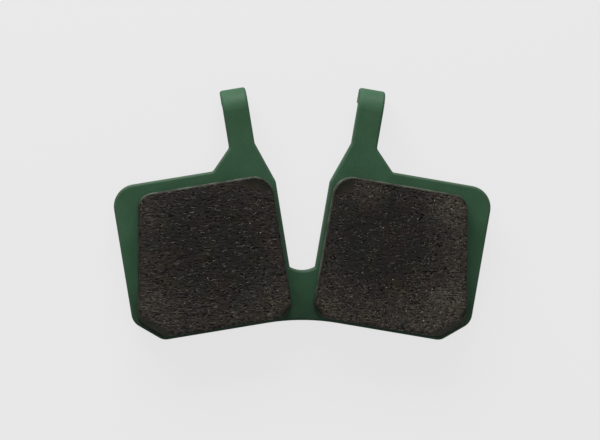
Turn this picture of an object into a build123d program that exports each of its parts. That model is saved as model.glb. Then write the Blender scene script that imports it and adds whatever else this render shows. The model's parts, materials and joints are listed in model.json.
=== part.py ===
from build123d import *
import os
from math import atan2, cos, degrees, radians, sin, tan

# Bicycle disc brake pad for a caliper with two pistons on each side.
# One stamped steel backing plate, with two arms bent back into hooks, carries two bonded friction blocks.
# Sizes are in millimetres. The pad is drawn flat, friction side up, with the back of its plate at z = 0
# and the wheel's axis at x = y = 0. Each half is square to its own piston: u runs outward across the half
# and v away from the wheel's axis, both from the piston's centre. The right half is drawn and mirrored.

# Layout of the two halves
half_angle = 9.5              # lean of each half away from the pad's centreline, degrees
slot_width = 4.05             # gap between the halves, level with the piston centres

# Backing plate: its edges, from the piston's centre
plate_thickness = 1.8
plate_inner = 9.16
plate_outer = 9.85
plate_top = 9.21
plate_bottom = 9.17
lower_chamfer_across = 3.17   # the cut at the lower outer corner
lower_chamfer_up = 2.62
top_corner_radius = 2.55
chamfer_outer_radius = 1.8
chamfer_bottom_radius = 1.5
die_roll_radius = 0.3         # the punch draws the friction side's edges down
back_edge_radius = 0.12       # deburred edges on the back

# Bridge between the halves: a slot above it and an arched edge below
arch_radius = 24.7
slot_floor = 3.17             # ends of the slot's floor below the piston centres
slot_floor_dip = 0.41         # middle of the floor below its ends
slot_corner_radius = 0.3

# Arms and hooks
arm_width = 3.0
arm_setback = 1.71            # arm's inner side from the half's inner edge
arm_length = 9.1              # half's top edge to the outside of the bend
neck_below = 2.3              # inner slope at the arm's root, below and above the half's top edge
neck_above = 2.5
neck_radius = 0.8
shoulder_across = 2.28        # outer slope at the arm's root
shoulder_up = 2.4
shoulder_radius = 0.5
bend_radius = 0.6             # inside of the bend
hook_reach = 2.6              # hook's tip behind the back of the plate
tip_corner_radius = 0.6

# Friction blocks: the bare rims around their feet, the radii of their feet's corners, and their drafted form
block_height = 2.2
block_draft = 4.5             # slope of the sides, degrees
inner_rim = 0.42
top_rim = 1.27
bottom_rim = 0.33
outer_rim = 0.6               # where the plate's lower chamfer starts; wider above
chamfer_rim = 0.35
lead_in = 0.75                # extra slope of the side along the lower chamfer
block_top_inner_radius = 2.3
block_top_outer_radius = 1.7
block_chamfer_radius = 1.1
block_bottom_inner_radius = 1.9

same_place = 1e-4             # points nearer than this are one point

lean = radians(half_angle)
axle_distance = (slot_width / 2 + plate_inner * cos(lean)) / sin(lean)
arm_inner = arm_setback - plate_inner
arm_outer = arm_inner + arm_width
bend_outer_radius = bend_radius + plate_thickness
hook_back = plate_top + arm_length
bend_start = hook_back - bend_outer_radius
hook_seat = bend_start + bend_radius
chamfer_top = lower_chamfer_up - plate_bottom


def at(u, v):
    """Point of the right half, in the pad's drawing."""
    x = u * cos(lean) + (axle_distance + v) * sin(lean)
    y = (axle_distance + v) * cos(lean) - u * sin(lean)
    return Vector(x, y)


def on_left(point):
    """Same point of the left half."""
    return Vector(-point.X, point.Y)


def make_plate_outline():
    """Face of the plate as it is blanked, up to where the arms start to bend."""
    right_side = [
        (at(-plate_inner, plate_top - neck_below), neck_radius),
        (at(arm_inner, plate_top + neck_above), neck_radius),
        (at(arm_inner, bend_start), 0),
        (at(arm_outer, bend_start), 0),
        (at(arm_outer, plate_top + shoulder_up), shoulder_radius),
        (at(arm_outer + shoulder_across, plate_top), shoulder_radius),
        (at(plate_outer, plate_top), top_corner_radius),
        (at(plate_outer, chamfer_top), chamfer_outer_radius),
        (at(plate_outer - lower_chamfer_across, -plate_bottom), chamfer_bottom_radius),
    ]
    left_side = [(on_left(point), radius) for point, radius in reversed(right_side)]
    arch = (Vector(0, (axle_distance - plate_bottom) / cos(lean)), arch_radius)
    corners = right_side + [arch] + left_side
    floor_end = at(-plate_inner, -slot_floor)
    floor_middle = Vector(0, floor_end.Y - slot_floor_dip)
    points = [floor_end] + [point for point, radius in corners] + [on_left(floor_end)]
    edge = FilletPolyline(*points, radius=[radius for point, radius in corners])
    floor = ThreePointArc(on_left(floor_end), floor_middle, floor_end)
    outline = make_face(edge.edges() + floor.edges())
    return fillet(outline.vertices().sort_by_distance(floor_middle)[:2], slot_corner_radius)


def make_flat_plate():
    """Blanked plate with its rolled front edge and deburred back edge, open at the arms' two ends."""
    plate = extrude(make_plate_outline(), plate_thickness)
    front_edges = plate.faces().sort_by(Axis.Z)[-1].edges().sort_by(Axis.Y)[:-2]
    plate = fillet(front_edges, die_roll_radius)
    back_edges = plate.faces().sort_by(Axis.Z)[0].edges().sort_by(Axis.Y)[:-2]
    return fillet(back_edges, back_edge_radius)


def make_hook():
    """Bent end of the right arm, with its edges rounded like the plate's."""
    bend_axis = (bend_start, -bend_radius)
    profile = [
        CenterArc(bend_axis, bend_outer_radius, 0, 90),
        Line((hook_back, -bend_radius), (hook_back, -hook_reach)),
        Line((hook_back, -hook_reach), (hook_seat, -hook_reach)),
        Line((hook_seat, -hook_reach), (hook_seat, -bend_radius)),
        CenterArc(bend_axis, bend_radius, 0, 90),
        Line((bend_start, 0), (bend_start, plate_thickness)),
    ]
    hook = extrude(Plane.YZ * make_face(profile), arm_width)
    hook = fillet(hook.edges().filter_by(Axis.Y).group_by(Axis.Z)[0], tip_corner_radius)
    hook = fillet(hook_edges(hook, hook_back, bend_outer_radius), die_roll_radius)
    hook = fillet(hook_edges(hook, hook_seat, bend_radius), back_edge_radius)
    return Rot(0, 0, -half_angle) * Pos(arm_inner, axle_distance, 0) * hook


def hook_edges(hook, face_v, radius):
    """Edges around one side of a hook: its flat face's, without the top one, and the bend's two arcs."""
    flat_edges = hook.edges().filter_by(lambda edge: abs(edge.center().Y - face_v) < same_place)
    arcs = hook.edges().filter_by(GeomType.CIRCLE).filter_by(Plane.YZ)
    return flat_edges.sort_by(Axis.Z)[:-1] + arcs.filter_by(lambda arc: abs(arc.radius - radius) < same_place)


def meet(first, second):
    """Point where two lines meet. Each is a point on the line and its direction."""
    start, along = first
    other_start, other_along = second
    reach = (other_start - start).cross(other_along).Z / along.cross(other_along).Z
    return start + along * reach


def make_block_outline(inset, chamfer_inset):
    """Outline of the right friction block, moved in from its foot."""
    chamfer_start = at(plate_outer, chamfer_top)
    chamfer_along = (at(plate_outer - lower_chamfer_across, -plate_bottom) - chamfer_start).normalized()
    chamfer_inward = Vector(chamfer_along.Y, -chamfer_along.X)
    across = at(1, 0) - at(0, 0)
    outward = at(0, 1) - at(0, 0)
    inner = (at(inner_rim + inset - plate_inner, 0), outward)
    top = (at(0, plate_top - top_rim - inset), across)
    outer = (at(plate_outer - outer_rim, chamfer_top) - Vector(inset, 0), Vector(0, 1))
    chamfer_side = (chamfer_start + chamfer_inward * (chamfer_rim + chamfer_inset), chamfer_along)
    bottom = (at(0, bottom_rim + inset - plate_bottom), across)
    corners = [
        (meet(inner, top), block_top_inner_radius),
        (meet(top, outer), block_top_outer_radius),
        (meet(outer, chamfer_side), block_chamfer_radius),
        (meet(chamfer_side, bottom), block_chamfer_radius),
        (meet(bottom, inner), block_bottom_inner_radius),
    ]
    points = [point for point, radius in corners]
    radii = [radius - inset for point, radius in corners]
    return make_face(FilletPolyline(*points, radius=radii, close=True))


def make_block():
    """Right friction block: drafted from its foot on the plate to its ground face."""
    draft = block_height * tan(radians(block_draft))
    foot = Pos(0, 0, plate_thickness) * make_block_outline(0, 0)
    face = Pos(0, 0, plate_thickness + block_height) * make_block_outline(draft, draft + lead_in)
    return loft([foot, face], ruled=True)


hook = make_hook()
plate = make_flat_plate() + hook + mirror(hook, Plane.YZ)
block = make_block()

# The pad lies friction side up, on the tips of its hooks and the lower corners of its plate.
support_span = at(arm_outer, hook_seat).Y - plate.bounding_box().min.Y
tilt = degrees(atan2(hook_reach, support_span))
lying = Rot(tilt, 0, 0)
lying_box = (lying * plate).bounding_box()
to_table = Pos(0, -lying_box.center().Y, -lying_box.min.Z) * lying

pieces = {
    "backing_plate": plate,
    "left_friction_block": mirror(block, Plane.YZ),
    "right_friction_block": block,
}
os.makedirs("parts", exist_ok=True)
for name, piece in pieces.items():
    export_step(to_table * piece, f"parts/{name}.step")
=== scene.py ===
import bmesh
import bpy
import json
import math
from itertools import pairwise
from mathutils import Color, Matrix, Vector
from mathutils.geometry import intersect_point_line


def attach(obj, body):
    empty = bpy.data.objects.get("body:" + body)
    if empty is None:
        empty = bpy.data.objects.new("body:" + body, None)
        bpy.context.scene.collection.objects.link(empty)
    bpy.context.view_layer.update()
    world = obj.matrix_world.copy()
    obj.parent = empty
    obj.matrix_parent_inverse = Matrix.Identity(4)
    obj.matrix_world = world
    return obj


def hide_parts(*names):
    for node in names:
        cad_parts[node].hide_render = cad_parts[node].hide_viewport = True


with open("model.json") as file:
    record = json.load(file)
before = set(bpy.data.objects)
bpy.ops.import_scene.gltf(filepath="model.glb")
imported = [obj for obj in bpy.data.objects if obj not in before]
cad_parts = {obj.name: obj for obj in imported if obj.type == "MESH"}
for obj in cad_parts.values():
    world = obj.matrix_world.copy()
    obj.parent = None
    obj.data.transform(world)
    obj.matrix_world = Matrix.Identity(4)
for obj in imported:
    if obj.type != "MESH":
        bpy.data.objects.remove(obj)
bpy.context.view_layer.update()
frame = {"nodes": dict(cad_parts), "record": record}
mounts = {mount["name"]: mount for mount in frame["record"]["mounts"]}

# Backing plate
# A stamped steel plate with two arms, whose ends are bent back into hooks that hang in the caliper.
# It is coated all over with a thin satin green film, which follows the stamping's rolled edges.
pad_normal = Vector(mounts["left_friction_face"]["axis"]).normalized()
pad_across = Vector((1, 0, 0))
pad_up = pad_normal.cross(pad_across)
piston_level = pad_up.dot(Vector(mounts["left_friction_face"]["pos_m"]))

# The film's colours, as they are seen on a screen, out of 255
coat_deep = (42, 73, 50)
coat_light = (50, 81, 59)
coat_fleck = (58, 89, 67)
coat_rubbed = (66, 71, 63)    # rubbed grey along the rolled edges, but not on the arms
coat_lower_dark = (21, 39, 27)     # darker green towards the bottom of the plate
coat_roughness = (0.52, 0.64)
coat_gloss = 0.16

# Patterns in the film: the size of their patches in metres, and the part of the noise that shows
coat_clouds = {"size": 0.0042, "seed": 1.0, "low": 0.3, "high": 0.7}
coat_speckle = {"size": 0.00014, "seed": 2.0, "low": 0.5, "high": 0.8}
coat_ripple = {"size": 0.00038, "seed": 3.0, "low": 0.2, "high": 0.8}   # left as the film flowed out
punch_marks = {"size": (0.00010, 0.00010, 0.0016), "seed": 4.0, "low": 0.3, "high": 0.7}
lower_dark_patches = {"size": 0.0016, "seed": 5.0, "low": 0.1, "high": 0.6}
rubbed_patches = {"size": 0.0014, "seed": 6.0, "low": 0.25, "high": 0.65}
film_depth = 0.000006         # of the ripple and the punch's marks, metres

# Levels on the plate, in metres from the pistons' centres
lower_dark_levels = (piston_level - 0.0022, piston_level - 0.0092)    # where the darkening starts, and where it is strongest
lower_dark_share = 0.75
rubbed_levels = (piston_level + 0.0140, piston_level + 0.0115)   # where it fades out, and where it is full
rubbed_share = 0.65

# How far a surface faces the friction side: 1 is flat on it, 0 is upright and -1 is on the back
rolled_facing = (0.985, 0.80)   # from the flat to the part of a rolled edge that is rubbed
upright_facing = (0.0, 0.3)     # from the plate's sides, which aren't rubbed, to its rolled edges
marked_facing = (0.35, 0.10)    # from the rolled edges to the sides, which show the punch's marks
lower_dark_facing = (-0.3, 0.5)      # from the back, which stays as it is, to what is darkened low down

noise_roughness = 0.55
finish_detail = 3.0


def set_inputs(tree, node, inputs):
    """Link the inputs that are other nodes' sockets, and set any other value."""
    for socket, value in inputs.items():
        if isinstance(value, bpy.types.NodeSocket):
            tree.links.new(value, node.inputs[socket])
        else:
            node.inputs[socket].default_value = value


def add_node(tree, kind, inputs, **settings):
    """Add a node with its settings and inputs."""
    node = tree.nodes.new(kind)
    for setting, value in settings.items():
        setattr(node, setting, value)
    set_inputs(tree, node, inputs)
    return node


def calculate(tree, operation, first, second=0.0):
    """One step of arithmetic on two values."""
    return add_node(tree, "ShaderNodeMath", {0: first, 1: second}, operation=operation).outputs[0]


def multiply(tree, first, *others):
    """Product of values, from left to right."""
    for other in others:
        first = calculate(tree, "MULTIPLY", first, other)
    return first


def add_up(tree, first, *others):
    """Sum of values, from left to right."""
    for other in others:
        first = calculate(tree, "ADD", first, other)
    return first


def measure(tree, operation, first, second):
    """One number worked out from two vectors."""
    node = add_node(tree, "ShaderNodeVectorMath", {0: first, 1: second}, operation=operation)
    return node.outputs["Value"]


def spread(tree, value, low, high, start=0.0, end=1.0):
    """Turn the stretch of a value from low to high into one from start to end, easing in and out."""
    inputs = {"Value": value, "From Min": low, "From Max": high, "To Min": start, "To Max": end}
    return add_node(tree, "ShaderNodeMapRange", inputs, interpolation_type="SMOOTHSTEP").outputs[0]


def tint(colour):
    """Screen colour turned into one for a shader's socket. Another node's socket stays as it is."""
    if isinstance(colour, bpy.types.NodeSocket):
        return colour
    return (*Color([part / 255 for part in colour]).from_srgb_to_scene_linear(), 1.0)


def mix(tree, share, first, second):
    """Blend two colours, which are screen colours or other nodes' sockets."""
    inputs = {0: share, 6: tint(first), 7: tint(second)}
    return add_node(tree, "ShaderNodeMix", inputs, data_type="RGBA").outputs[2]


def noise_over(tree, place, size, seed, detail):
    """Random value from 0 to 1 that changes over a given size along X, Y and Z."""
    cells = add_node(tree, "ShaderNodeVectorMath", {0: place, 1: size}, operation="DIVIDE").outputs["Vector"]
    inputs = {"Vector": cells, "W": seed, "Scale": 1.0, "Detail": detail, "Roughness": noise_roughness}
    return add_node(tree, "ShaderNodeTexNoise", inputs, noise_dimensions="4D").outputs["Fac"]


def make_patches_group():
    """Shader group: soft random patches of a given size along X, Y and Z, as a mask from 0 to 1."""
    group = bpy.data.node_groups.new("Patches", "ShaderNodeTree")
    for name, kind in (("Size", "Vector"), ("Seed", "Float"), ("Low", "Float"), ("High", "Float")):
        group.interface.new_socket(name, in_out="INPUT", socket_type=f"NodeSocket{kind}")
    group.interface.new_socket("Mask", in_out="OUTPUT", socket_type="NodeSocketFloat")
    given = group.nodes.new("NodeGroupInput").outputs
    place = group.nodes.new("ShaderNodeTexCoord").outputs["Object"]
    noise = noise_over(group, place, given["Size"], given["Seed"], finish_detail)
    add_node(group, "NodeGroupOutput", {"Mask": spread(group, noise, given["Low"], given["High"])})
    return group


patches_group = make_patches_group()


def patches(tree, size, seed, low, high, stretch=1.0):
    """Mask of soft patches. Their size is one length, or three along X, Y and Z, and X can be stretched."""
    along_x, along_y, along_z = size if isinstance(size, tuple) else (size, size, size)
    inputs = {"Size": (along_x * stretch, along_y, along_z), "Seed": seed, "Low": low, "High": high}
    return add_node(tree, "ShaderNodeGroup", inputs, node_tree=patches_group).outputs["Mask"]


def bump(tree, height, depth):
    """Normal of a surface whose height runs from 0 to 1 over the given depth in metres."""
    return add_node(tree, "ShaderNodeBump", {"Height": height, "Distance": depth}).outputs["Normal"]


def new_finish(name):
    """New material, with its tree and its Principled BSDF."""
    finish = bpy.data.materials.new(name)
    finish.use_nodes = True
    return finish, finish.node_tree, finish.node_tree.nodes["Principled BSDF"]


def make_green_coat():
    """Satin green film: faint clouds, a fine speckle, rubbed edges, darker patches low down, and the punch's
    marks below it.
    """
    finish, tree, surface = new_finish("Green coat")
    place = tree.nodes.new("ShaderNodeTexCoord").outputs["Object"]
    normal = tree.nodes.new("ShaderNodeNewGeometry").outputs["Normal"]
    level = measure(tree, "DOT_PRODUCT", place, pad_up)
    facing = measure(tree, "DOT_PRODUCT", normal, pad_normal)

    clouds = patches(tree, **coat_clouds)
    green = mix(tree, clouds, coat_deep, coat_light)
    green = mix(tree, patches(tree, **coat_speckle), green, coat_fleck)
    rolled = multiply(tree, spread(tree, facing, *rolled_facing), spread(tree, facing, *upright_facing))
    below_arms = spread(tree, level, *rubbed_levels, 0.0, rubbed_share)
    rubbed = multiply(tree, rolled, below_arms, patches(tree, **rubbed_patches))
    green = mix(tree, rubbed, green, coat_rubbed)
    # Darker green towards the bottom of the plate, in patches, and not on its back
    low_down = spread(tree, level, *lower_dark_levels, 0.0, lower_dark_share)
    lower_dark = multiply(tree, low_down, patches(tree, **lower_dark_patches), spread(tree, facing, *lower_dark_facing))

    on_side = spread(tree, calculate(tree, "ABSOLUTE", facing), *marked_facing)
    marks = multiply(tree, on_side, patches(tree, **punch_marks))
    height = add_up(tree, patches(tree, **coat_ripple), marks)
    set_inputs(tree, surface, {
        "Base Color": mix(tree, lower_dark, green, coat_lower_dark),
        "Roughness": spread(tree, clouds, 0.0, 1.0, *coat_roughness),
        "Specular IOR Level": coat_gloss,
        "Normal": bump(tree, height, film_depth),
    })
    return finish


plate = frame["nodes"]["backing_plate"]
plate.data.materials[0] = make_green_coat()

# Friction blocks
# Two blocks of friction compound, pressed and baked onto the plate in a mould and then ground flat.
# The mould leaves a smooth skin on their sides. Grinding scores the face, tears it rough and opens its pores.
millimetres = 0.001
pad_axes = Matrix((pad_across, pad_up, pad_normal)).transposed()
pad_to_row = pad_axes.to_4x4() @ Matrix.Scale(millimetres, 4)

# A block's mesh, in millimetres
cell = 0.06                   # of the ground face's grid
cut_gap = 1e-5                # points nearer than this to a cut are on it
weld_gap = 0.0005             # points of the CAD mesh that are nearer than this are one
flat_angle = math.radians(0.5)   # faces of the CAD mesh that turn less than this are one
wall_rows = 10
bake_margin = 0.02            # of the map's width
foot_map = 0.01               # side of the hidden foot's place on the map

# What sinks the surface: sizes in metres, with the length along X, and the part of the noise that sinks
reliefs = {
    "Score": {"length": 0.00130, "width": 0.00014, "depth": 0.000020, "starts": 0.40, "ends": 0.64},
    "Tooth": {"length": 0.00028, "width": 0.00020, "depth": 0.000022, "starts": 0.30, "ends": 0.70},
    "Pore": {"length": 0.00032, "width": 0.00016, "depth": 0.000090, "starts": 0.535, "ends": 0.64},
    "Wave": {"length": 0.00050, "width": 0.00050, "depth": 0.000012, "starts": 0.20, "ends": 0.80},
    "Chip": {"length": 0.00026, "width": 0.00024, "depth": 0.000130, "starts": 0.46, "ends": 0.68},
}
relief_detail = 2.0
seed_step = 10.0              # between the seeds of different reliefs, or of different bits
stretches = {"left": 1.12, "right": 0.76}   # how far grinding has drawn the marks out along X
edge_break = 0.000020         # all along the ground face's edge, where it also loses chips
edge_reach = 0.00028

# The middle of a face is worn dark, out to where pale brake dust has settled
worn_inside = 0.0035
worn_outside = 0.0130
worn_middles = {"left": Vector((0.0009, 0.0014, 0)), "right": Vector((-0.0020, 0.0019, 0))}
dust_shares = {"left": 0.62, "right": 0.90}

# Round places where the dust is thicker: middle from the piston's centre, and radius, in millimetres
dusty_spots = {
    "left": [((-6.9, 4.2), 0.2), ((-6.9, -5.3), 0.3), ((-5.6, -7.5), 0.4)],
    "right": [((5.8, 5.4), 0.8), ((5.6, -5.5), 0.9), ((-3.6, 7.3), 0.4)],
}
dusty_shares = {"left": 0.18, "right": 0.48}
dusty_fade = 0.0024           # width of such a place's border, metres

# The face is torn rough in clumps, with smoother compound between them
clump_size = 0.0007
clump_seed = 70.0
clump_noise = (0.35, 0.65)    # where a clump starts, and where it is torn most
relief_between = 0.60         # shares of the relief between the clumps and in them
relief_in = {"left": 0.92, "right": 1.30}
glaze_shares = {"left": 0.0, "right": 0.48}   # how much of the clumps is worn off in the middle of a face
glazed_dust = 0.12            # where the dust is this thick, nothing is

# Low places that grinding missed: middle from the piston's centre, and radius, in millimetres
smooth_spots = {
    "left": [((5.2, 8.6), 0.8), ((6.6, 8.4), 0.9), ((7.9, 7.4), 0.45), ((9.7, -6.9), 0.8)],
    "right": [((-6.9, 8.5), 1.3), ((-9.7, -6.9), 0.8), ((8.7, -7.4), 1.3), ((8.5, 6.8), 0.9)],
}
spot_depth = 0.000040
spot_fade = 0.0006            # width of a spot's border, and how far it wanders in and out, metres
spot_wander = 0.0012


def read_outlines(node):
    """Outlines of a CAD block's ground face and foot, along the pad's axes, in millimetres."""
    solid = bmesh.new()
    solid.from_mesh(node.data)
    solid.transform(pad_to_row.inverted())
    bmesh.ops.remove_doubles(solid, verts=solid.verts, dist=weld_gap)
    bmesh.ops.dissolve_limit(solid, angle_limit=flat_angle, verts=solid.verts, edges=solid.edges)
    by_height = sorted(solid.faces, key=lambda face: face.normal.z * face.calc_area())
    outlines = [[corner.co.copy() for corner in face.verts] for face in (by_height[-1], by_height[0])]
    solid.free()
    return outlines


def slice_sheet(sheet, axis):
    """Cut a flat sheet into strips one cell wide along an axis."""
    places = [corner.co.dot(axis) for corner in sheet.verts]
    ahead = list(sheet.faces)
    for step in range(1, math.ceil((max(places) - min(places)) / cell)):
        place = min(places) + step * cell
        edges = dict.fromkeys(edge for face in ahead for edge in face.edges)
        corners = dict.fromkeys(corner for face in ahead for corner in face.verts)
        parts = bmesh.ops.bisect_plane(
            sheet, geom=[*ahead, *edges, *corners], dist=cut_gap, plane_co=axis * place, plane_no=axis)
        cut = [part for part in parts["geom"] if isinstance(part, bmesh.types.BMFace)]
        ahead = [face for face in cut if face.calc_center_median().dot(axis) > place]


def nearest_on(outline, point):
    """Point of a closed outline that is nearest to a given one."""
    found = []
    for start, end in pairwise([*outline, outline[0]]):
        share = intersect_point_line(point, start, end)[1]
        found.append(start.lerp(end, min(max(share, 0.0), 1.0)))
    return min(found, key=lambda spot: (spot - point).length)


def move_spots(spots, centre):
    """Round spots, with their middles moved from the piston's centre to their places on the pad."""
    return [(centre + Vector(middle), radius) for middle, radius in spots]


def store_distances(sheet, name, spots):
    """Keep each point's distance from the nearest of some round spots, in metres. It is negative inside."""
    outside = sheet.verts.layers.float.new(name)
    for corner in sheet.verts:
        gaps = [(corner.co.xy - middle).length - radius for middle, radius in spots]
        corner[outside] = min(gaps) * millimetres


def drop_walls(block, foot_outline):
    """Add a block's sides, from the edge of its face to its foot, in rows that are narrowest at the face."""
    rim = [edge for edge in block.edges if edge.is_boundary]
    columns = {}
    for corner in dict.fromkeys(corner for edge in rim for corner in edge.verts):
        low = nearest_on(foot_outline, corner.co)
        below = [corner.co.lerp(low, (row / wall_rows) ** 2) for row in range(1, wall_rows + 1)]
        columns[corner] = [corner, *(block.verts.new(point) for point in below)]
    for edge in rim:
        loop = edge.link_loops[0]
        left, right = columns[loop.vert], columns[loop.link_loop_next.vert]
        for (left_high, left_low), (right_high, right_low) in zip(pairwise(left), pairwise(right)):
            block.faces.new((right_high, left_high, left_low, right_low)).smooth = True


def lay_bake_map(block, foot):
    """Flat map for baking: the block as seen from its friction side, with its hidden foot in a corner."""
    flat = block.loops.layers.uv.new("OFBake")
    places = [corner.co.xy for corner in block.verts]
    low = Vector([min(place[axis] for place in places) for axis in (0, 1)])
    size = max(place[axis] - low[axis] for place in places for axis in (0, 1))
    for face in block.faces:
        scale, margin = (foot_map, 0.0) if face in foot else (1 - 2 * bake_margin, bake_margin)
        for loop in face.loops:
            place = (loop.vert.co.xy - low) / size
            loop[flat].uv = place * scale + Vector((margin, margin))


def make_block_mesh(name, node, marked_spots):
    """Closed mesh of a block: a fine grid over its ground face, rows down its sides, and its foot."""
    face_outline, foot_outline = read_outlines(node)
    block = bmesh.new()
    block.faces.new([block.verts.new(point) for point in face_outline])
    slice_sheet(block, Vector((1, 0, 0)))
    slice_sheet(block, Vector((0, 1, 0)))
    ground = block.faces.layers.float.new("ground")
    for face in block.faces:
        face[ground] = 1.0
        face.smooth = True
    for layer, spots in marked_spots.items():
        store_distances(block, layer, spots)
    drop_walls(block, foot_outline)
    foot = bmesh.ops.holes_fill(block, edges=[edge for edge in block.edges if edge.is_boundary])["faces"]
    bmesh.ops.recalc_face_normals(block, faces=block.faces)
    lay_bake_map(block, foot)
    block.transform(pad_to_row)
    mesh = bpy.data.meshes.new(name)
    block.to_mesh(mesh)
    block.free()
    return mesh


def new_tree(name, inputs):
    """Geometry Nodes tree with named inputs. Returns the tree and its inputs' sockets."""
    tree = bpy.data.node_groups.new(name, "GeometryNodeTree")
    tree.interface.new_socket("Geometry", in_out="INPUT", socket_type="NodeSocketGeometry")
    for input_name, kind in inputs.items():
        tree.interface.new_socket(input_name, in_out="INPUT", socket_type=f"NodeSocket{kind}")
    tree.interface.new_socket("Geometry", in_out="OUTPUT", socket_type="NodeSocketGeometry")
    return tree, tree.nodes.new("NodeGroupInput").outputs


def named(tree, name):
    """Value stored on the mesh, for a Geometry Nodes tree."""
    inputs = {"Name": name}
    return add_node(tree, "GeometryNodeInputNamedAttribute", inputs, data_type="FLOAT").outputs[0]


def store(tree, geometry, name, value):
    """Keep a value on each point of the mesh."""
    inputs = {"Geometry": geometry, "Name": name, "Value": value}
    node = add_node(tree, "GeometryNodeStoreNamedAttribute", inputs, data_type="FLOAT", domain="POINT")
    return node.outputs[0]


def along(tree, direction, length):
    """Vector of a given length in a direction."""
    inputs = {0: direction, "Scale": length}
    return add_node(tree, "ShaderNodeVectorMath", inputs, operation="SCALE").outputs["Vector"]


def without(tree, share):
    """What a share leaves of 1."""
    return calculate(tree, "SUBTRACT", 1.0, share)


def cloud(tree, length, width, seed):
    """Random value from 0 to 1 that changes over the given length along X and width across it."""
    place = tree.nodes.new("GeometryNodeInputPosition").outputs[0]
    size = add_node(tree, "ShaderNodeCombineXYZ", {"X": length, "Y": width, "Z": width}).outputs[0]
    return noise_over(tree, place, size, seed, relief_detail)


def sink_depth(tree, given, relief, seed):
    """How far one kind of relief sinks each point of the surface."""
    own_seed = calculate(tree, "ADD", given["Seed"], seed)
    rough = cloud(tree, given[f"{relief} length"], given[f"{relief} width"], own_seed)
    sunk = spread(tree, rough, given[f"{relief} starts"], given[f"{relief} ends"])
    return multiply(tree, sunk, given[f"{relief} depth"])


def distance_from_edge(tree, whole, ground):
    """Distance of each point from the edge of the ground face."""
    inputs = {"Geometry": whole, "Selection": ground}
    face = add_node(tree, "GeometryNodeSeparateGeometry", inputs, domain="FACE")
    neighbours = tree.nodes.new("GeometryNodeInputMeshEdgeNeighbors").outputs["Face Count"]
    inputs = {2: neighbours, 3: 1}
    at_edge = add_node(tree, "FunctionNodeCompare", inputs, data_type="INT", operation="EQUAL")
    inputs = {"Geometry": face.outputs[0], "Selection": at_edge.outputs[0]}
    edge = add_node(tree, "GeometryNodeSeparateGeometry", inputs, domain="EDGE")
    nearest = add_node(tree, "GeometryNodeProximity", {0: edge.outputs[0]}, target_element="EDGES")
    return nearest.outputs["Distance"]


def missed_share(tree, given):
    """1 in the low places that grinding missed, and 0 past their wandering borders."""
    wander = given["Spot wander"]
    drift = multiply(tree, cloud(tree, wander, wander, given["Seed"]), wander)
    mean_drift = calculate(tree, "DIVIDE", wander, 2.0)
    past_spot = calculate(tree, "SUBTRACT", add_up(tree, named(tree, "from_spot"), drift), mean_drift)
    return spread(tree, past_spot, 0.0, given["Spot fade"], 1.0, 0.0)


def dust_share(tree, given):
    """How thick the dust is: none in the worn middle, more outside it, and most in the dusty places."""
    place = tree.nodes.new("GeometryNodeInputPosition").outputs[0]
    from_middle = measure(tree, "DISTANCE", place, given["Worn middle"])
    settled = spread(tree, from_middle, given["Worn inside"], given["Worn outside"], 0.0, given["Dust share"])
    thick = spread(tree, named(tree, "from_dusty"), 0.0, given["Dusty fade"], given["Dusty share"], 0.0)
    return add_up(tree, settled, thick)


def clump_share(tree, given, dust):
    """1 in the torn clumps, less where they are worn off, and 0 between them."""
    seed = calculate(tree, "ADD", given["Seed"], clump_seed)
    torn = spread(tree, cloud(tree, given["Clump size"], given["Clump size"], seed), *clump_noise)
    glaze = spread(tree, dust, given["Glazed dust"], 0.0, 0.0, given["Glaze share"])
    return multiply(tree, torn, without(tree, glaze))


def make_grinding_tree():
    """Tree: sinks a block's surface, and keeps on each point what its finishes and bits go by."""
    sizes = [f"{relief} {name}" for relief, relief_sizes in reliefs.items() for name in relief_sizes]
    others = ("Edge break", "Edge reach", "Worn inside", "Worn outside", "Dust share", "Dusty share",
              "Dusty fade", "Clump size", "Relief between", "Relief in", "Glaze share", "Glazed dust",
              "Spot depth", "Spot fade", "Spot wander", "Seed")
    kinds = dict.fromkeys([*sizes, *others], "Float")
    kinds |= {"Worn middle": "Vector", "Ground finish": "Material", "Skin finish": "Material"}
    tree, given = new_tree("Grinding", kinds)
    whole, ground = given["Geometry"], named(tree, "ground")
    sinks = {}
    for count, relief in enumerate(reliefs):
        sinks[relief] = sink_depth(tree, given, relief, seed_step * count)
    smooth = missed_share(tree, given)
    dust = dust_share(tree, given)
    clump = clump_share(tree, given, dust)
    from_edge = distance_from_edge(tree, whole, ground)

    relief_share = spread(tree, clump, 0.0, 1.0, given["Relief between"], given["Relief in"])
    rough_share = multiply(tree, relief_share, without(tree, smooth))
    rough_sink = multiply(tree, rough_share, add_up(tree, sinks["Score"], sinks["Tooth"], sinks["Pore"]))
    face_sink = add_up(tree, rough_sink, multiply(tree, smooth, given["Spot depth"]))
    skin_sink = multiply(tree, without(tree, ground), sinks["Wave"])
    near_edge = spread(tree, from_edge, 0.0, given["Edge reach"], 1.0, 0.0)
    edge_sink = multiply(tree, near_edge, add_up(tree, sinks["Chip"], given["Edge break"]))
    sink = add_up(tree, multiply(tree, ground, face_sink), skin_sink, edge_sink)

    kept = whole
    values = {"sink": sink, "from_edge": from_edge, "dust": dust, "smooth": smooth, "clump": clump}
    for name, value in values.items():
        kept = store(tree, kept, name, value)
    normal = tree.nodes.new("GeometryNodeInputNormal").outputs[0]
    inward = along(tree, normal, multiply(tree, sink, -1.0))
    sunk = add_node(tree, "GeometryNodeSetPosition", {"Geometry": kept, "Offset": inward}).outputs[0]
    inputs = {"Geometry": sunk, "Material": given["Skin finish"]}
    skinned = add_node(tree, "GeometryNodeSetMaterial", inputs).outputs[0]
    inputs = {"Geometry": skinned, "Selection": ground, "Material": given["Ground finish"]}
    faced = add_node(tree, "GeometryNodeSetMaterial", inputs).outputs[0]
    add_node(tree, "NodeGroupOutput", {"Geometry": faced})
    return tree


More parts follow.
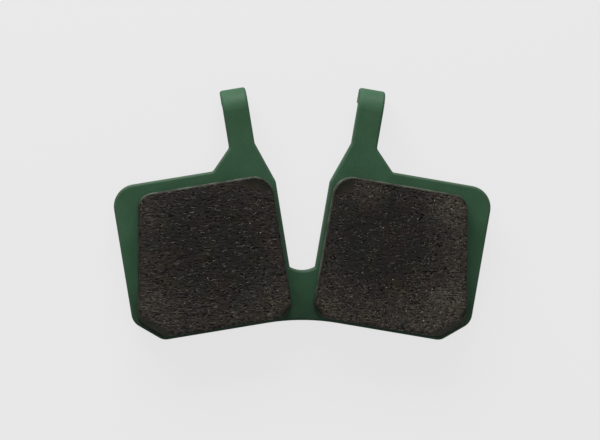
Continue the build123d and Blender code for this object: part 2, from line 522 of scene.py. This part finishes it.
def grow(name, mesh, tree, values):
    """New object whose mesh is what a tree makes of the given one."""
    piece = bpy.data.objects.new(name, mesh)
    bpy.context.scene.collection.objects.link(piece)
    modifier = piece.modifiers.new("Growth", "NODES")
    modifier.node_group = tree
    for socket in tree.interface.items_tree:
        if socket.in_out == "INPUT" and socket.name in values:
            modifier[socket.identifier] = values[socket.name]
    evaluated = piece.evaluated_get(bpy.context.evaluated_depsgraph_get())
    piece.data = bpy.data.meshes.new_from_object(evaluated)
    piece.modifiers.clear()
    return piece


# The ground face's colours and patterns
compound_mid = (36, 34, 32)
compound_mixes = (            # patches where the compound has more red, olive or blue in it
    ((45, 35, 31), {"size": 0.0030, "seed": 11.0, "low": 0.45, "high": 0.65}),
    ((41, 40, 27), {"size": 0.0024, "seed": 12.0, "low": 0.48, "high": 0.68}),
    ((32, 36, 34), {"size": 0.0027, "seed": 13.0, "low": 0.50, "high": 0.70}),
)
compound_dust = (87, 79, 70)
dust_patches = {"size": (0.0005, 0.00028, 0.0003), "seed": 17.0, "low": 0.30, "high": 0.62}
compound_grit = (21, 20, 18)
grit_patches = {"size": (0.00034, 0.00021, 0.0002), "seed": 18.0, "low": 0.42, "high": 0.68}
compound_streak = (23, 22, 20)
streak_patches = {"size": (0.0013, 0.00012, 0.0002), "seed": 14.0, "low": 0.49, "high": 0.66}
even_dust = 0.45              # between the clumps, colours are evened out: share of the dust that shows
even_grit = (0.80, 0.40)      # share of grit there, with no dust and with as much as ends the glaze
full_clump = 0.6              # where a clump is torn this much, its own colours show in full
clump_least = 0.35            # share of them that shows between the clumps
# Painted shade in the pores and other hollows, darker the deeper the surface has sunk
hollow_shade = (8, 7, 7)
hollow_shade_sinks = (0.00004, 0.00008)   # depth at which the painted shade in a hollow starts, and where it is darkest, metres
dusty_hollow_shade = 0.3              # share of that painted shade where dust has filled the pores
compound_smooth = (32, 31, 23)
compound_smooth_brown = (40, 34, 29)
# painted shade along the face's edge, in the places that grinding missed
compound_smooth_shade = (20, 23, 16)
smooth_patches = {"size": 0.0007, "seed": 19.0, "low": 0.3, "high": 0.7}
smooth_shade_width = 0.0010          # width of the painted shade along the face's edge in the places that grinding missed, metres
compound_grain = {"size": 0.00006, "seed": 16.0, "low": 0.2, "high": 0.8}
compound_grain_depth = 0.00001
compound_roughness = (0.66, 0.85)
compound_gloss = 0.12


def stored(tree, name):
    """Value stored on the mesh, for a material."""
    return add_node(tree, "ShaderNodeAttribute", {}, attribute_name=name).outputs["Fac"]


def make_ground_compound(side):
    """Ground friction compound: patches of different mixes, grit, dark streaks, settled dust and pores, with
    painted shade in its hollows and at the edge of the places that grinding missed.
    """
    finish, tree, surface = new_finish(f"Ground compound {side}")
    stretch = stretches[side]
    dust = stored(tree, "dust")
    mixed = compound_mid
    for colour, pattern in compound_mixes:
        mixed = mix(tree, patches(tree, **pattern), mixed, colour)

    even = mix(tree, multiply(tree, dust, even_dust), mixed, compound_dust)
    even = mix(tree, spread(tree, dust, 0.0, glazed_dust, *even_grit), even, compound_grit)
    settled = multiply(tree, dust, patches(tree, **dust_patches, stretch=stretch))
    torn = mix(tree, settled, mixed, compound_dust)
    torn = mix(tree, patches(tree, **grit_patches, stretch=stretch), torn, compound_grit)
    streaks = patches(tree, **streak_patches, stretch=stretch)
    torn = mix(tree, streaks, torn, compound_streak)
    torn_share = spread(tree, stored(tree, "clump"), 0.0, full_clump, clump_least, 1.0)
    ground = mix(tree, torn_share, even, torn)
    # Painted shade in the hollows
    dark = spread(tree, stored(tree, "sink"), *hollow_shade_sinks)
    shaded_hollows = multiply(tree, dark, spread(tree, dust, 0.0, 1.0, 1.0, dusty_hollow_shade))
    ground = mix(tree, shaded_hollows, ground, hollow_shade)

    missed = mix(tree, patches(tree, **smooth_patches), compound_smooth, compound_smooth_brown)
    # Painted shade near the face's edge in the missed places
    inside = spread(tree, stored(tree, "from_edge"), 0.0, smooth_shade_width)
    missed = mix(tree, inside, compound_smooth_shade, missed)
    set_inputs(tree, surface, {
        "Base Color": mix(tree, stored(tree, "smooth"), ground, missed),
        "Roughness": spread(tree, streaks, 0.0, 1.0, *compound_roughness),
        "Specular IOR Level": compound_gloss,
        "Normal": bump(tree, patches(tree, **compound_grain), compound_grain_depth),
    })
    return finish


# The sides' colours and patterns. The skin is streaked along the way that the block left the mould.
skin_dark = (50, 53, 46)
skin_light = (88, 93, 82)
skin_clouds = {"size": (0.0012, 0.0012, 0.0050), "seed": 21.0, "low": 0.36, "high": 0.66}
skin_outer_shade = (23, 28, 21)     # painted shade on the sides furthest from the pad's centreline
outer_shade_reach = (0.0140, 0.0170)   # from the centreline: where the painted shade starts, and where it is darkest, metres
outer_shade_patches = {"size": 0.0030, "seed": 24.0, "low": 0.40, "high": 0.60}
skin_worn = (37, 36, 33)      # near the ground face, where the skin has worn through
worn_reach = (0.0017, 0.0006)    # from the face's edge: where wear starts, and where it is complete, metres
worn_patches = {"size": 0.0011, "seed": 23.0, "low": 0.3, "high": 0.7}
worn_wander = 0.0004
skin_slope_shade = (50, 52, 47)     # painted shade: darker skin on the lead-in slopes, which are smoother, with paler scuffs
skin_scuff = (76, 77, 70)
scuff_patches = {"size": (0.00075, 0.00022, 0.00022), "seed": 25.0, "low": 0.42, "high": 0.74}
shaded_slope_facing = (0.20, 0.33)   # from the sides to the slopes: how far they face the friction side
skin_grain = {"size": 0.00008, "seed": 22.0, "low": 0.2, "high": 0.8}
skin_grain_depth = 0.000006
skin_roughness = (0.75, 0.88)
skin_gloss = 0.05


def make_moulded_skin():
    """Pale skin that the mould leaves on a block's sides, worn through near the ground face, with painted
    shade on its outer sides and lead-in slopes.
    """
    finish, tree, surface = new_finish("Moulded skin")
    place = tree.nodes.new("ShaderNodeTexCoord").outputs["Object"]
    normal = tree.nodes.new("ShaderNodeNewGeometry").outputs["Normal"]
    across = measure(tree, "DOT_PRODUCT", place, pad_across)
    facing = measure(tree, "DOT_PRODUCT", normal, pad_normal)

    clouds = patches(tree, **skin_clouds)
    colour = mix(tree, clouds, skin_dark, skin_light)
    # Painted shade on the sides furthest from the centreline
    outer_shade_share = spread(tree, calculate(tree, "ABSOLUTE", across), *outer_shade_reach)
    colour = mix(tree, multiply(tree, outer_shade_share, patches(tree, **outer_shade_patches)), colour, skin_outer_shade)
    ragged = multiply(tree, patches(tree, **worn_patches), worn_wander)
    worn = spread(tree, add_up(tree, stored(tree, "from_edge"), ragged), *worn_reach)
    colour = mix(tree, worn, colour, skin_worn)
    # Painted shade on the lead-in slopes, with paler scuffs
    slope_shade = mix(tree, patches(tree, **scuff_patches), skin_slope_shade, skin_scuff)
    set_inputs(tree, surface, {
        "Base Color": mix(tree, spread(tree, facing, *shaded_slope_facing), colour, slope_shade),
        "Roughness": spread(tree, clouds, 0.0, 1.0, *skin_roughness),
        "Specular IOR Level": skin_gloss,
        "Normal": bump(tree, patches(tree, **skin_grain), skin_grain_depth),
    })
    return finish


grinding_tree = make_grinding_tree()
grinding = {
    "Edge break": edge_break,
    "Edge reach": edge_reach,
    "Worn inside": worn_inside,
    "Worn outside": worn_outside,
    "Dusty fade": dusty_fade,
    "Clump size": clump_size,
    "Relief between": relief_between,
    "Glazed dust": glazed_dust,
    "Spot depth": spot_depth,
    "Spot fade": spot_fade,
    "Spot wander": spot_wander,
    "Skin finish": make_moulded_skin(),
}
for relief, sizes in reliefs.items():
    grinding |= {f"{relief} {size_name}": size for size_name, size in sizes.items()}
blocks = {}
for seed, side in enumerate(("left", "right")):
    node = f"{side}_friction_block"
    name = f"{side}_ground_block"
    centre = Vector(mounts[f"{side}_friction_face"]["pos_m"])
    flat_centre = (pad_to_row.inverted() @ centre).xy
    marked_spots = {
        "from_spot": move_spots(smooth_spots[side], flat_centre),
        "from_dusty": move_spots(dusty_spots[side], flat_centre),
    }
    mesh = make_block_mesh(name, frame["nodes"][node], marked_spots)
    own = {
        "Seed": float(seed),
        "Worn middle": centre + pad_axes @ worn_middles[side],
        "Dust share": dust_shares[side],
        "Dusty share": dusty_shares[side],
        "Glaze share": glaze_shares[side],
        "Relief in": relief_in[side],
        "Ground finish": make_ground_compound(side),
    }
    own |= {f"{relief} length": sizes["length"] * stretches[side] for relief, sizes in reliefs.items()}
    block = grow(name, mesh, grinding_tree, grinding | own)
    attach(block, "root")
    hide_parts(node)
    blocks[side] = block

# Grains, flecks and fibres
# Hard mineral grains, pale flecks and short fibres are mixed into the compound before it is pressed.
# Grinding cuts them flush with the face, so they show wherever the softer compound has sunk around them.

# Number on each square metre, smallest and largest scale of the shape, and how far it turns each way
bits = {
    "Grain": {"density": 7.0e6, "smallest": 0.00002, "largest": 0.00007, "turn": math.pi},
    "Fleck": {"density": 0.14e6, "smallest": 0.00005, "largest": 0.00010, "turn": math.pi},
    "Fibre": {"density": 4.0e6, "smallest": 0.00007, "largest": 0.00024, "turn": math.radians(28)},
}
bit_finishes = {
    "Grain": {"name": "Mineral grain", "dull": (58, 55, 48), "bright": (122, 116, 105), "roughness": 0.60},
    "Fleck": {"name": "Pale fleck", "dull": (92, 96, 86), "bright": (156, 156, 147), "roughness": 0.45},
    "Fibre": {"name": "Mineral fibre", "dull": (54, 51, 46), "bright": (104, 99, 90), "roughness": 0.60},
}
bit_patches = {"size": 0.00025, "seed": 31.0, "low": 0.35, "high": 0.65}
dull_roughness = 0.15         # what the dull patches are rougher by

# The shapes at scale 1: half sizes of a grain and a fleck, and a fibre from -1 to 1 along X
grain_form = (1.0, 0.75, 0.55)
fleck_form = (1.0, 0.6, 0.22)
fibre_radius = 0.10
fibre_sides = 5
fibre_lengths = 4             # straight lengths along its bend
fibre_pull = (0.1, 0.3, 0)    # the point that its bend is pulled towards
half_heights = {"Grain": grain_form[2], "Fleck": fleck_form[2], "Fibre": fibre_radius}

worn_share = 0.5              # of the bits that still show where the face is worn dark
bits_between = 0.50           # shares of them between the clumps and in them
bits_in = {"left": 0.98, "right": 2.10}
edge_margin = 0.0006
deepest_seat = 0.000045       # where the compound has sunk further, it holds nothing
smoothest_seat = 0.1          # and where grinding missed more of it than this, nothing shows
draw_step = 100.0             # between the seeds of different draws


def draw(tree, low, high, seed, draw_number):
    """Random value for each copy, apart from the other draws with the same seed."""
    inputs = {2: low, 3: high, "Seed": calculate(tree, "ADD", seed, draw_step * draw_number)}
    return add_node(tree, "FunctionNodeRandomValue", inputs, data_type="FLOAT").outputs[1]


def seat_copies(tree, given):
    """Points on the ground face, denser in dust and clumps, and clear of its edge, pits and smooth spots."""
    away = calculate(tree, "GREATER_THAN", named(tree, "from_edge"), given["Edge margin"])
    shallow = calculate(tree, "LESS_THAN", named(tree, "sink"), given["Deepest seat"])
    rough = calculate(tree, "LESS_THAN", named(tree, "smooth"), given["Smoothest seat"])
    seat = multiply(tree, away, shallow, rough, named(tree, "ground"))
    shown = spread(tree, named(tree, "dust"), 0.0, 1.0, given["Worn share"], 1.0)
    clumped = spread(tree, named(tree, "clump"), 0.0, 1.0, given["Share between"], given["Share in"])
    density = multiply(tree, given["Density"], multiply(tree, shown, clumped))
    inputs = {"Mesh": given["Geometry"], "Selection": seat, "Density": density, "Seed": given["Seed"]}
    return add_node(tree, "GeometryNodeDistributePointsOnFaces", inputs).outputs["Points"]


def turn_copies(tree, given):
    """Rotation of each copy: flat on the face, either way round along X, and off it by up to its turn."""
    furthest_back = multiply(tree, given["Turn"], -1.0)
    lean = draw(tree, furthest_back, given["Turn"], given["Seed"], draw_number=2)
    half_turns = calculate(tree, "ROUND", draw(tree, 0.0, 1.0, given["Seed"], draw_number=3))
    angle = add_up(tree, lean, multiply(tree, half_turns, math.pi))
    inputs = {"Vector": given["Face normal"]}
    flat = add_node(tree, "FunctionNodeAlignRotationToVector", inputs, axis="Z").outputs[0]
    spin = add_node(tree, "FunctionNodeAxisAngleToRotation", {"Angle": angle}).outputs[0]
    inputs = {"Rotation": flat, "Rotate By": spin}
    return add_node(tree, "FunctionNodeRotateRotation", inputs, rotation_space="LOCAL").outputs[0]


def make_scatter_group():
    """Tree: copies of a shape, each turned at random, lying flush in the ground face."""
    sizes = ("Half height", "Density", "Smallest", "Largest", "Turn", "Worn share", "Share between",
             "Share in", "Edge margin", "Deepest seat", "Smoothest seat")
    kinds = dict.fromkeys(sizes, "Float")
    kinds |= {"Shape": "Geometry", "Face normal": "Vector", "Finish": "Material", "Seed": "Int"}
    tree, given = new_tree("Scatter", kinds)
    points = seat_copies(tree, given)
    scale = draw(tree, given["Smallest"], given["Largest"], given["Seed"], draw_number=1)
    half_height = multiply(tree, scale, given["Half height"])
    rise = calculate(tree, "SUBTRACT", named(tree, "sink"), half_height)
    inputs = {"Geometry": points, "Offset": along(tree, given["Face normal"], rise)}
    flush = add_node(tree, "GeometryNodeSetPosition", inputs).outputs[0]
    turned = turn_copies(tree, given)
    inputs = {"Points": flush, "Instance": given["Shape"], "Rotation": turned, "Scale": scale}
    copies = add_node(tree, "GeometryNodeInstanceOnPoints", inputs).outputs[0]
    real = add_node(tree, "GeometryNodeRealizeInstances", {"Geometry": copies}).outputs[0]
    inputs = {"Geometry": real, "Material": given["Finish"]}
    finished = add_node(tree, "GeometryNodeSetMaterial", inputs).outputs[0]
    add_node(tree, "NodeGroupOutput", {"Geometry": finished})
    return tree


def make_shapes(tree):
    """One grain, one fleck and one fibre, each about 2 long and lying flat."""
    ball = add_node(tree, "GeometryNodeMeshIcoSphere", {"Radius": 1.0, "Subdivisions": 1}).outputs[0]
    grain = add_node(tree, "GeometryNodeTransform", {"Geometry": ball, "Scale": grain_form}).outputs[0]
    fleck = add_node(tree, "GeometryNodeTransform", {"Geometry": ball, "Scale": fleck_form}).outputs[0]
    inputs = {"Resolution": fibre_lengths, "Start": (-1, 0, 0), "Middle": fibre_pull, "End": (1, 0, 0)}
    line = add_node(tree, "GeometryNodeCurveQuadraticBezier", inputs).outputs[0]
    inputs = {"Resolution": fibre_sides, "Radius": fibre_radius}
    ring = add_node(tree, "GeometryNodeCurvePrimitiveCircle", inputs).outputs[0]
    inputs = {"Curve": line, "Profile Curve": ring, "Fill Caps": True}
    fibre = add_node(tree, "GeometryNodeCurveToMesh", inputs).outputs[0]
    return {"Grain": grain, "Fleck": fleck, "Fibre": fibre}


def make_bits_tree():
    """Tree: all the bits that show in one block's ground face."""
    shared = ("Worn share", "Share between", "Share in", "Edge margin", "Deepest seat", "Smoothest seat")
    kinds = {f"{bit} {size_name}": "Float" for bit, sizes in bits.items() for size_name in sizes}
    kinds |= {f"{bit} finish": "Material" for bit in bits}
    kinds |= dict.fromkeys(shared, "Float")
    kinds |= {"Face normal": "Vector", "Seed": "Int"}
    tree, given = new_tree("Bits", kinds)
    scatter = make_scatter_group()
    shapes = make_shapes(tree)
    together = tree.nodes.new("GeometryNodeJoinGeometry")
    for count, (bit, sizes) in enumerate(bits.items()):
        inputs = {name: given[name] for name in ("Geometry", "Face normal", *shared)}
        inputs |= {name.capitalize(): given[f"{bit} {name}"] for name in (*sizes, "finish")}
        inputs |= {"Shape": shapes[bit], "Half height": half_heights[bit]}
        inputs["Seed"] = calculate(tree, "ADD", given["Seed"], seed_step * count)
        copies = add_node(tree, "GeometryNodeGroup", inputs, node_tree=scatter)
        tree.links.new(copies.outputs[0], together.inputs[0])
    add_node(tree, "NodeGroupOutput", {"Geometry": together.outputs[0]})
    return tree


def make_bit_finish(name, dull, bright, roughness):
    """Worn mineral: duller and brighter patches about as large as one bit."""
    finish, tree, surface = new_finish(name)
    shade = patches(tree, **bit_patches)
    set_inputs(tree, surface, {
        "Base Color": mix(tree, shade, dull, bright),
        "Roughness": spread(tree, shade, 0.0, 1.0, roughness + dull_roughness, roughness),
    })
    return finish


bits_tree = make_bits_tree()
scattering = {
    "Face normal": pad_normal,
    "Worn share": worn_share,
    "Share between": bits_between,
    "Edge margin": edge_margin,
    "Deepest seat": deepest_seat,
    "Smoothest seat": smoothest_seat,
}
for bit, sizes in bits.items():
    scattering |= {f"{bit} {size_name}": size for size_name, size in sizes.items()}
    scattering[f"{bit} finish"] = make_bit_finish(**bit_finishes[bit])
for seed, (side, block) in enumerate(blocks.items()):
    longest_fibre = bits["Fibre"]["largest"] * stretches[side]
    own = {"Seed": seed, "Share in": bits_in[side], "Fibre largest": longest_fibre}
    embedded = grow(f"{side}_face_bits", block.data.copy(), bits_tree, scattering | own)
    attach(embedded, "root")

# Table, light and camera
# A pale table, with an even light all round and a wide soft lamp low beyond the pad's arms.
# The camera looks straight down on the friction side, from slightly left of and above its middle.
table_grey = (231, 231, 231)
table_bounce = (140, 140, 140)   # what the table throws back on the pad
table_half_width = 3.0
table_shine_share = 0.92      # part of the table's look that shadows don't reach
room_light = 0.48
lamp_left = math.radians(12)
lamp_height = math.radians(19)
lamp_distance = 0.30
lamp_size = (0.34, 0.12)
lamp_power = 1.68
view_left = math.radians(3.0)
view_above = math.radians(2.2)
view_roll = math.radians(0.3)
view_distance = 0.300
view_nearest = 0.01
view_lens = 154.2             # millimetres, on the usual 36 mm wide sensor
aim_left = 0.00025
aim_above_pistons = 0.0038


def rays_that_see(tree):
    """1 for rays that show the background: the camera's own and those in reflections and glass."""
    rays = tree.nodes.new("ShaderNodeLightPath").outputs
    mirrored = calculate(tree, "MAXIMUM", rays["Is Glossy Ray"], rays["Is Transmission Ray"])
    return calculate(tree, "MAXIMUM", rays["Is Camera Ray"], mirrored)


def make_table():
    """Flat pale table at the pad's feet."""
    signs = ((-1, -1), (1, -1), (1, 1), (-1, 1))
    corners = [(x * table_half_width, y * table_half_width, 0) for x, y in signs]
    mesh = bpy.data.meshes.new("table")
    mesh.from_pydata(corners, [], [(0, 1, 2, 3)])
    finish = bpy.data.materials.new("Pale table")
    finish.use_nodes = True
    tree = finish.node_tree
    tree.nodes.clear()
    bounce = add_node(tree, "ShaderNodeBsdfDiffuse", {"Color": tint(table_bounce)}).outputs[0]
    lit = add_node(tree, "ShaderNodeBsdfDiffuse", {"Color": tint(table_grey)}).outputs[0]
    even = add_node(tree, "ShaderNodeEmission", {"Color": tint(table_grey), "Strength": 1.0}).outputs[0]
    seen = add_node(tree, "ShaderNodeMixShader", {0: table_shine_share, 1: lit, 2: even}).outputs[0]
    shown = add_node(tree, "ShaderNodeMixShader", {0: rays_that_see(tree), 1: bounce, 2: seen}).outputs[0]
    add_node(tree, "ShaderNodeOutputMaterial", {"Surface": shown})
    mesh.materials.append(finish)
    table = bpy.data.objects.new("table", mesh)
    bpy.context.scene.collection.objects.link(table)


def make_room():
    """Even light all round."""
    world = bpy.data.worlds.new("Room")
    world.use_nodes = True
    tree = world.node_tree
    tree.nodes.clear()
    inputs = {"Color": (1, 1, 1, 1), "Strength": room_light}
    light = add_node(tree, "ShaderNodeBackground", inputs).outputs[0]
    add_node(tree, "ShaderNodeOutputWorld", {"Surface": light})
    bpy.context.scene.world = world


def place_on_pad(thing, origin, orientation, distance):
    """Stand a lamp or camera back from a point, with its own -Z axis pointing at it."""
    back = orientation @ Vector((0, 0, 1))
    thing.matrix_world = Matrix.Translation(origin + back * distance) @ orientation.to_4x4()
    bpy.context.scene.collection.objects.link(thing)


make_table()
make_room()

left_piston = Vector(mounts["left_piston_face"]["pos_m"])
right_piston = Vector(mounts["right_piston_face"]["pos_m"])
aim = (left_piston + right_piston) / 2 + pad_up * aim_above_pistons - pad_across * aim_left

lamp_light = bpy.data.lights.new("Soft lamp", "AREA")
lamp_light.shape = "RECTANGLE"
lamp_light.size, lamp_light.size_y = lamp_size
lamp_light.energy = lamp_power
lamp = bpy.data.objects.new("Soft lamp", lamp_light)
lamp_from = Vector((-math.sin(lamp_left), math.cos(lamp_left), math.tan(lamp_height)))
place_on_pad(lamp, aim, (pad_axes @ lamp_from).to_track_quat("Z", "Y").to_matrix(), lamp_distance)

camera_lens = bpy.data.cameras.new("Camera")
camera_lens.lens = view_lens
camera_lens.clip_start = view_nearest
camera = bpy.data.objects.new("Camera", camera_lens)
swing = Matrix.Rotation(-view_left, 3, "Y")
dip = Matrix.Rotation(-view_above, 3, "X")
roll = Matrix.Rotation(view_roll, 3, "Z")
place_on_pad(camera, aim, pad_axes @ (swing @ dip @ roll), view_distance)
bpy.context.scene.camera = camera
bpy.context.scene.view_settings.view_transform = "Standard"
